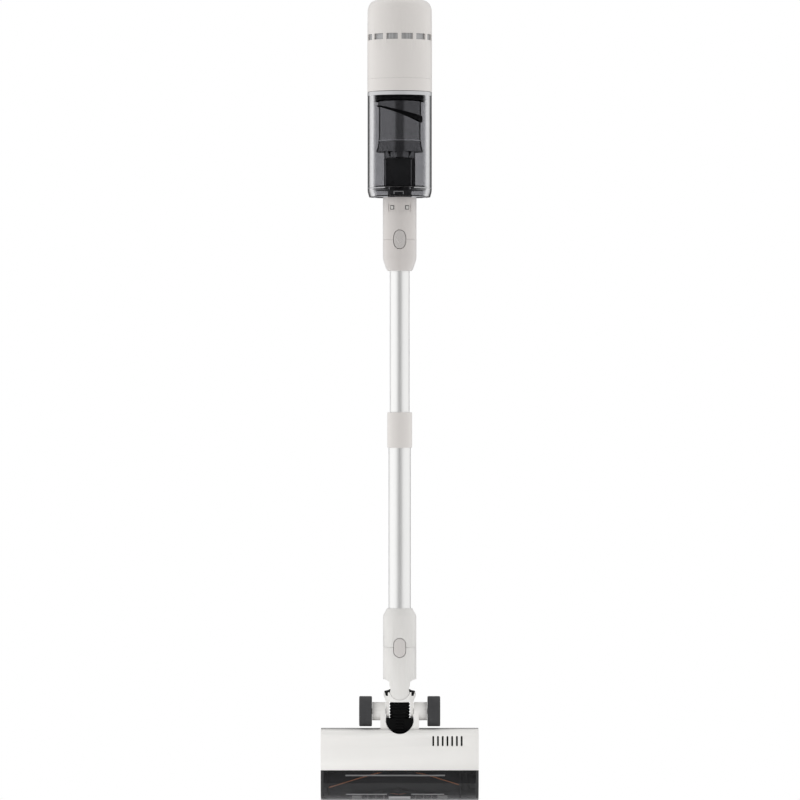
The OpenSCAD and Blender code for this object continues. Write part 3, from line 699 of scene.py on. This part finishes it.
def filters():
    """The filter stack inside the cup, from its plug and slanted ramp down to the flared skirt."""
    refined("filter_plug", "filter_frame", "main_unit", DARK, 0.3)
    refined("cup_top_seal", "cup_seal", "main_unit", SEAL, 0.4)
    refined("mesh_cylinder", "mesh_filter", "main_unit", MESH, 0.0)
    refined("cup_inlet", "inlet_duct", "cup", DUCT, 0.9)
    refined("duct_flap", "inlet_flap", "inlet_flap", SEAL, 0.2)
    mesh_r = span("mesh_filter", 0)[1]
    top = span("filter_shroud", 2)[1]
    ramp_z, slope = 994.9, math.tan(math.radians(19.6))
    thin, thick = 1.4, 8.6
    inside = mesh_r - 1.2

    def ramp(x):
        return ramp_z - slope * x

    def band_top(x):
        return ramp(x) + thin + (thick - thin) * (x + mesh_r) / (2 * mesh_r)

    shroud = sleeve("ramp_shroud", inside, mesh_r + 0.9, band_top, lambda x: top - 2.8, SHROUD)
    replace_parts(shroud, "filter_shroud")
    ease(sleeve("ramp_band", inside, mesh_r + 2.9, ramp, band_top, MATT), 0.4)
    bore_r, plate_r = 29, 40.8
    lathe("shroud_flange", [(bore_r, top - 3), (plate_r, top - 3), (plate_r, top), (bore_r, top)], "main_unit",
          DARK)
    low, high = span("filter_skirt", 2)
    flare, foot_r = span("filter_skirt", 0)[1], 22.4
    skirt = lathe("flared_skirt", rounded([
        (0.3, low, 0), (foot_r, low, 0.4), (foot_r, low + 8.2, 1.0), (flare, low + 8.6, 0.5),
        (flare, low + 10, 0.5), (mesh_r + 1.6, low + 16.5, 2.0), (mesh_r + 0.6, high, 0.4), (0.3, high, 0)]),
        "main_unit", SHROUD)
    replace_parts(skirt, "filter_skirt")
    near, far, rim_top = mesh_r + 0.1, mesh_r + 1.1, high + 1.5
    lathe("mesh_rim", rounded([(near, high, 0.2), (far, high, 0.4), (far, rim_top, 0.4), (near, rim_top, 0.2)]),
          "main_unit", BRIGHT)
    # Two thin ribs under the skirt; they are dark plastic, coloured light grey as a painted highlight.
    for side in (-1, 1):
        gusset = [(side * x, low + z) for x, z in ((13.4, 1), (14.2, 1), (17.2, 7.5), (16.4, 7.5))]
        prism("skirt_rib_painted_highlight_%s" % ("left" if side < 0 else "right"), gusset, -19.1, -14, "Y", "main_unit", LIP_AND_HIGHLIGHT_GREY,
              slot="dark_plastic")


def cup_details():
    """The cup's floor seal, the light edge of its floor, its dark foot, and light strips along the duct's edges
    as painted highlights.
    """
    low, high = CUP_FLOOR + 0.6, CUP_FLOOR + 2.2
    lathe("cup_floor_seal", rounded([
        (CUP_R - 2.4, low, 0.3), (CUP_R - 2.2, high, 0.3), (CUP_R - 3.6, high, 0.3), (CUP_R - 3.8, low, 0.3)]),
        "cup", SEAL)
    low, proud, open_x = CUP_FLOOR - 1.4, CUP_R + 0.12, 21
    edge = lathe("cup_floor_edge", [(proud, low), (proud, CUP_FLOOR), (CUP_R, CUP_FLOOR), (CUP_R, low)],
                 "cup", RIDGE)
    window = [(x * open_x, CUP_FLOOR + z * 5) for x, z in ((-1, -1), (1, -1), (1, 1), (-1, 1))]
    cut(edge, prism("cutter", window, -60, -10, "Y", "cup", DARK))
    low, high = CUP_LOW + 0.1, CUP_LOW + 1.6
    lathe("cup_foot_edge", [(CUP_R - 2.3, low), (CUP_R - 1.9, high), (CUP_R - 3.0, high), (CUP_R - 4.2, low)],
          "cup", SEAL)
    low, high = CUP_FLOOR + 1, span("inlet_duct", 2)[1] - 2
    front = span("inlet_duct", 1)[0]
    # The duct is dark plastic; these light grey strips along its front edges are painted highlights.
    for name, x0, x1 in (("duct_edge_highlight_left", -21.2, -19.9), ("duct_edge_highlight_right", 16.1, 17.4)):
        prism(name, [(x0, low), (x1, low), (x1, high), (x0, high)], front - 0.3, front + 0.2, "Y", "cup", LIP_AND_HIGHLIGHT_GREY,
              0.15, "dark_plastic")


dust_cup()
filters()
cup_details()


# ---- wand ----

ADAPTER_R = span("adapter_upper", 0)[1]
ADAPTER_LOW = span("adapter_lower", 2)[0]
ADAPTER_SEAM = (span("adapter_lower", 2)[1] + span("adapter_upper", 2)[0]) / 2
ADAPTER_TOP = span("adapter_upper", 2)[1]
CONNECTOR_R = span("connector_upper", 0)[1]
CONNECTOR_SEAM = (span("connector_lower", 2)[1] + span("connector_upper", 2)[0]) / 2
UPPER_R = span("upper_tube", 0)[1]
LOWER_R = span("lower_tube", 0)[1]
UPPER_BORE = 14.35
TUBE_WALL = 1.2
TUBE_STOP_Z = 843
SOCKET_R = 17.5
FACE_Y = -30  # in front of every wand shell
CONTACT_X = 10.8
CONTACT_Z = 859.2
CONTACT_PANEL = (853.3, 865.7)
COLLAR_STEP_Z = 541
COLLAR_KEY_Z = 551.5
GAP = 0.08


# The faces of a box whose eight corners are listed one axis inside another
BOX_FACES = ((0, 1, 3, 2), (4, 6, 7, 5), (0, 4, 5, 1), (2, 3, 7, 6), (0, 2, 6, 4), (1, 5, 7, 3))


def box_into(verts, faces, low, high):
    """Adds a box to a piece that is being listed."""
    first = len(verts)
    verts += [at(x, y, z) for x in (low[0], high[0]) for y in (low[1], high[1]) for z in (low[2], high[2])]
    faces += [tuple(first + i for i in face) for face in BOX_FACES]


def curved_button(name, node, outline, middle, radius, body, material, relief=None, bars=()):
    """A button whose face follows a round shell, with a rounded rim, and its latch bars behind."""
    rings = [0.04 * k for k in range(1, 22)] + [0.89, 0.93, 0.965, 0.99, 1.0, 1.0]
    drops = [0.0] * 21 + [0.0, 0.05, 0.16, 0.42, 0.8, 3.2]
    count = len(outline)
    verts = [at(0, -radius - (relief(0, 0) if relief else 0), middle)]
    for u, drop in zip(rings, drops):
        for x, z in outline:
            px, pz = x * u, (z - middle) * u
            lift = relief(px, pz) if relief and drop == 0 else 0
            verts.append(at(px, -math.sqrt(radius ** 2 - px ** 2) + drop - lift, middle + pz))
    faces = [(0, 1 + j, 1 + (j + 1) % count) for j in range(count)]
    for i in range(len(rings) - 1):
        a, b = 1 + i * count, 1 + (i + 1) * count
        faces += [(a + j, b + j, b + (j + 1) % count, a + (j + 1) % count) for j in range(count)]
    last = 1 + (len(rings) - 1) * count
    faces.append(tuple(last + j for j in range(count)))
    for low, high in bars:
        box_into(verts, faces, low, high)
    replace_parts(piece(name, verts, faces, body, material, 50), node)


def chevron(x, z):
    """The raised V on the upper release button, in millimetres."""
    away = abs(z - (abs(x) * 1.7 - 6.0)) / math.hypot(1, 1.7)
    return 0.9 * max(0.0, 1 - away / 1.2) if z < 3.6 else 0.0


def adapter():
    """The adapter's two shells, with seats for the button and the contact pads, and those pieces."""
    # Both shells wear the cream plastic with painted shade.
    top = lathe("adapter_top", rounded([
        (UPPER_BORE, ADAPTER_SEAM + GAP, 0.2), (ADAPTER_R, ADAPTER_SEAM + GAP, 0.3),
        (ADAPTER_R, ADAPTER_TOP, 0.6), (SOCKET_R, ADAPTER_TOP, 0.4), (SOCKET_R, TUBE_STOP_Z, 0.2),
        (UPPER_BORE, TUBE_STOP_Z, 0.2)]),
        "wand_upper", SHADED_ADAPTER_CREAM, 180)
    low = lathe("adapter_foot", rounded([
        (UPPER_BORE, ADAPTER_LOW, 0.2), (17.7, ADAPTER_LOW, 0.8), (19.6, ADAPTER_LOW + 3.2, 3),
        (22.9, ADAPTER_LOW + 12.5, 3), (ADAPTER_R, ADAPTER_LOW + 18, 3), (ADAPTER_R, ADAPTER_SEAM - GAP, 0.3),
        (UPPER_BORE, ADAPTER_SEAM - GAP, 0.2)]),
        "wand_upper", SHADED_ADAPTER_CREAM, 180)
    opening = superellipse(18.9, 28.2, 2.3, middle=ADAPTER_SEAM)
    pocket = [(x, ADAPTER_SEAM + z) for x, z in ((-5.4, -10.8), (5.4, -10.8), (5.4, 25.4), (-5.4, 25.4))]
    for shell in (top, low):
        cut(shell, prism("cutter", opening, FACE_Y, -17.2, "Y", "wand_upper", DARK))
        cut(shell, prism("cutter", pocket, -20.6, -16.6, "Y", "wand_upper", DARK))
    reach, floor_r = 16.3, ADAPTER_R - 0.75
    across = [reach - 2 * reach * k / 24 for k in range(25)]
    panel = [(x, -math.sqrt(floor_r ** 2 - x ** 2)) for x in across] + [(-reach, FACE_Y), (reach, FACE_Y)]
    cut(top, prism("cutter", panel, *CONTACT_PANEL, "Z", "wand_upper", DARK))
    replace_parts(top, "adapter_upper")
    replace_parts(low, "adapter_lower")
    turn = math.asin(CONTACT_X / floor_r)

    def square(half):
        signs = ((-1, -1), (1, -1), (1, 1), (-1, 1))
        return rounded([(x * half, CONTACT_Z + z * half, 0.5) for x, z in signs])

    for side in (-1, 1):
        which = "left" if side < 0 else "right"
        centre = at(0, 0, 0)
        spin = Matrix.Translation(centre) @ Matrix.Rotation(side * turn, 4, "Z") @ Matrix.Translation(-centre)
        for name, half, proud, material, edge, slot in (
                ("contact_seat_", 3.1, 0.25, GREY, 0.15, "dark_plastic"),
                ("contact_pad_", 2.2, 0.7, NICKEL, 0.5, "steel")):
            made = prism(name + which, square(half), -floor_r - proud, -floor_r + 0.6, "Y", "wand_upper",
                         material, edge, slot)
            made.data.transform(spin)
            if side > 0 and half < 3:
                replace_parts(made, "contact_pads")
    face = superellipse(17.3, 26.6, 2.3, middle=ADAPTER_SEAM)
    curved_button("adapter_button", "upper_release_button", face, ADAPTER_SEAM, ADAPTER_R + 0.1,
                  "upper_release_button", ADAPTER_KEY, chevron,
                  [((-5, -20.2, ADAPTER_SEAM - 9.7), (5, -18.9, ADAPTER_SEAM + 24.4))])


def tubes():
    """The two tubes and the collar between them."""
    for name, node, body, radius in (("tube_top", "upper_tube", "wand_upper", UPPER_R),
                                     ("tube_bottom", "lower_tube", "wand_lower", LOWER_R)):
        low, high = span(node, 2)
        inner = radius - TUBE_WALL
        made = lathe(name, rounded([
            (radius, low, 0.3), (radius, high, 0.3), (inner, high, 0.3), (inner, low, 0.3)]),
            body, ALUMINIUM, 200)
        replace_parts(made, node)
    low, high = span("tube_collar", 2)
    outer, lower_bore, bore = span("tube_collar", 0)[1], LOWER_R + 0.05, 14.95
    collar = lathe("collar_sleeve", rounded([
        (lower_bore, low, 0.2), (outer, low, 2.0), (outer, high, 1.6), (bore, high, 0.3),
        (bore, COLLAR_STEP_Z, 0.1), (lower_bore, COLLAR_STEP_Z, 0.1)]),
        "wand_lower", CREAM, 180)
    cut(collar, prism("cutter", stadium(10.8, 14.8, COLLAR_KEY_Z), 13, 20, "Y", "wand_lower", DARK))
    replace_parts(collar, "tube_collar")


def connector():
    """The connector's two shells and their release button."""
    # Both shells wear the white plastic with painted shade.
    refined("connector_top", "connector_upper", "connector", SHADED_CONNECTOR_WHITE, 0.4)
    refined("connector_fork", "connector_lower", "connector", SHADED_CONNECTOR_WHITE, 0.5)
    middle = CONNECTOR_SEAM - 0.7
    curved_button("connector_button", "lower_release_button", stadium(16.9, 26.9, middle), middle,
                  CONNECTOR_R + 0.1, "lower_release_button", BUTTON, None,
                  [((-5, -20.2, middle - 9.9), (5, -18.9, middle + 20.5))])


adapter()
tubes()
connector()


# ---- neck ----

AXLE_Z = 129.5


def hose():
    """The bellows between the yoke and the head."""
    low, high = span("hose", 2)
    outer = span("hose", 0)[1] + 0.45
    pitch, valley, inner = 4.35, 1.5, outer - 3.4
    steps = int((high - low) / pitch) * 8
    outside = []
    for k in range(steps + 1):
        z = low + (high - low) * k / steps
        bulge = abs(math.cos(math.pi * (z - low) / pitch)) ** 0.8
        outside.append((outer - valley * (1 - bulge), z))
    inside = [(inner, high), (inner, low)]
    made = lathe("bellows_hose", outside + inside, None, HOSE, 120, sharp=60)
    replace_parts(made, "hose")
    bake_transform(made)


def wheels():
    """Both wheels, as one outline about the axle and its mirror image."""
    near, far = span("wheel_right", 0)
    radius = (span("wheel_right", 2)[1] - span("wheel_right", 2)[0]) / 2
    bore_r, web = 4.1, far - 1.4
    profile = [(bore_r, near, 0.2), (radius - 0.9, near, 0.5), (radius, near + 1.0, 0.5),
               (radius, far - 1.0, 0.5), (radius - 0.9, far, 0.5), (radius - 3.6, far, 0.4),
               (radius - 4.6, web, 0.5), (9.5, web, 0.5), (8.6, far - 0.4, 0.6), (0.5, far - 0.1, 0),
               (0.5, far - 1.2, 0), (bore_r, far - 1.2, 0.2)]
    for side, node in ((1, "wheel_right"), (-1, "wheel_left")):
        outline = [(r, side * x) for r, x in rounded(profile)]
        made = lathe(node + "_tyre", outline, node, TYRE, 120, "X", (0, AXLE_Z))
        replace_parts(made, node)


hose()
wheels()
refined("yoke_cradle", "yoke", "yoke", WHITE, 0.7)
refined("yoke_lining", "yoke_liner", "yoke", BLACK, 0.5)
refined("hose_seat", "hose_cuff", "head", BLACK, 0.5)
refined("neck_arms", "head_neck", "head", WHITE, 1.0)


# ---- floor head ----

HEAD_HALF = span("head_cover", 0)[1]
ROLLER_Y = -1.0
ROLLER_Z = 27.6
WINDOW_R = 24.7
RIDGE_Z = (37.2, 39.2)
DARK_STRIP_Z = (42.4, 45.2)
CORE_LEFT, CORE_RIGHT, CORE_R, RIM_R = -103, 85.9, 17, 21.2
CHEVRON_X = -1.7
CHEVRON_DEG = 63.5
TWIST_DEG = 0.82


def on_window(angle, radius):
    """(y, z) on a circle about the roller, by degrees below the horizontal at its front."""
    turn = math.radians(angle)
    return ROLLER_Y - radius * math.cos(turn), ROLLER_Z - radius * math.sin(turn)


def window_strip(name, x0, x1, start, stop, proud, material, slot):
    """A thin moulded strip that follows the window's lower curve."""
    steps = max(2, int((stop - start) / 4))
    arc = [start + (stop - start) * k / steps for k in range(steps + 1)]
    outline = [on_window(a, WINDOW_R + proud) for a in arc]
    outline += [on_window(a, WINDOW_R - 0.4) for a in reversed(arc)]
    return prism(name, outline, x0, x1, "X", "head", material, 0.15, slot)


def window_parts():
    """The clear pane, and the ridge, lines, panels and ribs that are moulded on it, and a dark strip along its
    top edge.
    """
    refined("window_pane", "window", "head", WINDOW, 0.0)
    front = ROLLER_Y - WINDOW_R
    low, high = RIDGE_Z
    ridge = rounded([
        (front - 0.5, low, 0.2), (front + 0.2, low, 0), (front + 0.2, high, 0), (front - 0.5, high, 0.3)])
    prism("window_ridge", ridge, -78.3, 65.4, "X", "head", RIDGE, slot="clear_smoke")
    # A dark strip along the window's top edge, under the cover's edge.
    low, high = DARK_STRIP_Z
    dark_strip = [(front - 0.25, low), (front + 0.4, low), (front + 0.4, high), (front - 0.25, high)]
    prism("window_dark_strip", dark_strip, -HEAD_HALF + 4.3, HEAD_HALF - 4.3, "X", "head", MATT, slot="dark_plastic")
    for side, reach in ((-1, (-77.9, -18.4)), (1, (16.4, 64.2))):
        which = "left" if side < 0 else "right"
        window_strip("window_line_" + which, *reach, 41.5, 46, 0.35, RIDGE, "clear_smoke")
        near, far = sorted((side * 56.1, side * 69.2))
        window_strip("lip_panel_" + which, near, far, 50, 76, 0.3, RIB, "grey_plastic")
        for i, x in enumerate((22.8, 34.4, 46.0, 55.4)):
            window_strip("lip_rib_%s_%d" % (which, i), side * x - 0.5, side * x + 0.5, 50, 76, 0.6, RIB,
                         "grey_plastic")
    window_strip("lip_middle", -16, 15.5, 56, 76, 0.5, LIP_AND_HIGHLIGHT_GREY, "lip_grey")


def brush():
    """The roller: a felt core, its shaft, pulley and rims, and four twisted rows of tufts that meet near the
    middle."""
    low, high = span("brush_roll", 0)
    core = lathe("roller_core", rounded([
        (0.2, low, 0), (3, low, 0.3), (3, CORE_LEFT, 0), (CORE_R, CORE_LEFT, 0.8), (CORE_R, CORE_RIGHT, 0.8),
        (8, CORE_RIGHT, 0), (8, 90.5, 0), (11, 90.5, 0.3), (11, 99.5, 0.3), (3, 99.5, 0), (3, high, 0.3),
        (0.2, high, 0)]),
        "brush", FELT, 96, "X", (ROLLER_Y, ROLLER_Z))
    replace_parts(core, "brush_roll")
    for name, x0, x1 in (("roller_rim_left", -104.3, -102.9), ("roller_rim_right", 85.6, 86.8)):
        lathe(name, rounded([(16.5, x0, 0.3), (RIM_R, x0, 0.5), (RIM_R, x1, 0.5), (16.5, x1, 0.3)]),
              "brush", SEAL, 72, "X", (ROLLER_Y, ROLLER_Z))
    for name, material, turns, root, tip in (
            ("tuft_tips", BRISTLE, (0, 180), 20.4, 22.3), ("tuft_roots", TUFT, (0, 180), 16.6, 20.5),
            ("tufts_dark", TUFT, (90, 270), 16.6, 22.3)):
        verts, faces = [], []
        for turn in turns:
            for side in (-1, 1):
                reach = (CHEVRON_X + 102) if side < 0 else (85 - CHEVRON_X)
                tufts = int(reach / 2.2)
                for k in range(tufts):
                    first = len(verts)
                    for j, share in enumerate((0.0, 0.82)):
                        along = 0.6 + (k + share) * reach / tufts
                        angle = math.radians(CHEVRON_DEG - TWIST_DEG * along + turn)
                        jitter = 0.35 * math.sin(7.1 * k + 2.3 * turn + side)
                        for r, wide in ((root, 0.7), (tip + jitter * 0.25, 0.8 + jitter * 0.25)):
                            for w in (-wide, wide):
                                a = angle + w / r * 0.75
                                verts.append(at(CHEVRON_X + side * along, ROLLER_Y - r * math.cos(a),
                                                ROLLER_Z + r * math.sin(a)))
                    faces += [tuple(first + i for i in face) for face in BOX_FACES]
        piece(name, verts, faces, "brush", material, 30)


window_parts()
brush()

for name, node, body, material, bevel, slot in (
    ("cover_shell", "head_cover", "head", WHITE, 0.6, "white_shell"),
    ("base_tray", "head_base", "head", SOLE, 0.4, "grey_plastic"),
    ("nose_lip", "front_lip", "head", LIP_AND_HIGHLIGHT_GREY, 0.5, "lip_grey"),
    ("roller_lock", "end_lock", "end_lock", GREY, 0.5, "grey_plastic"),
    ("sole_wheels", "sole_rollers", "sole_rollers", GREY, 0.5, "grey_plastic"),
    ("belt_loop", "drive_belt", "head", SEAL, 0.2, "black_rubber"),
    ("hook_insert", "hook_bush", "main_unit", STEEL, 0.4, "steel"),
    ("charge_jack", "charge_socket", "main_unit", DARK, 0.25, "dark_plastic"),
    ("collar_key", "collar_button", "collar_button", CREAM, 0.5, "cream_shell"),
    ("grip_left", "handle_left", "main_unit", CREAM, 0.8, "cream_shell"),
    ("grip_right", "handle_right", "main_unit", CREAM, 0.8, "cream_shell"),
    ("battery_shell", "battery_case", "main_unit", CREAM, 0.9, "cream_shell"),
    ("power_key", "power_button", "power_button", GREY, 0.5, "dark_plastic"),
    ("mode_key", "mode_button", "mode_button", GREY, 0.4, "dark_plastic"),
    ("cup_key", "cup_release_button", "cup_release_button", GREY, 0.5, "dark_plastic"),
    ("grip_screws", "handle_screws", "main_unit", STEEL, 0.3, "steel"),
):
    refined(name, node, body, material, bevel)

for node, material in (
    ("motor_frame", DARK), ("motor_stator", COPPER), ("motor_rotor", STEEL), ("circuit_board", BOARD),
    ("foam_filter", FOAM), ("battery_cells", CELL), ("wand_seal", SEAL), ("collar_bush", DARK),
    ("swivel_pins", STEEL), ("axle_pins", STEEL), ("head_duct", DARK), ("head_motor", BLACK),
    ("motor_pinion", DARK),
):
    dress(node, material)


# ---- end ----


def corners(box):
    """A box's two corners as plain lists."""
    return [list(box[0]), list(box[1])]
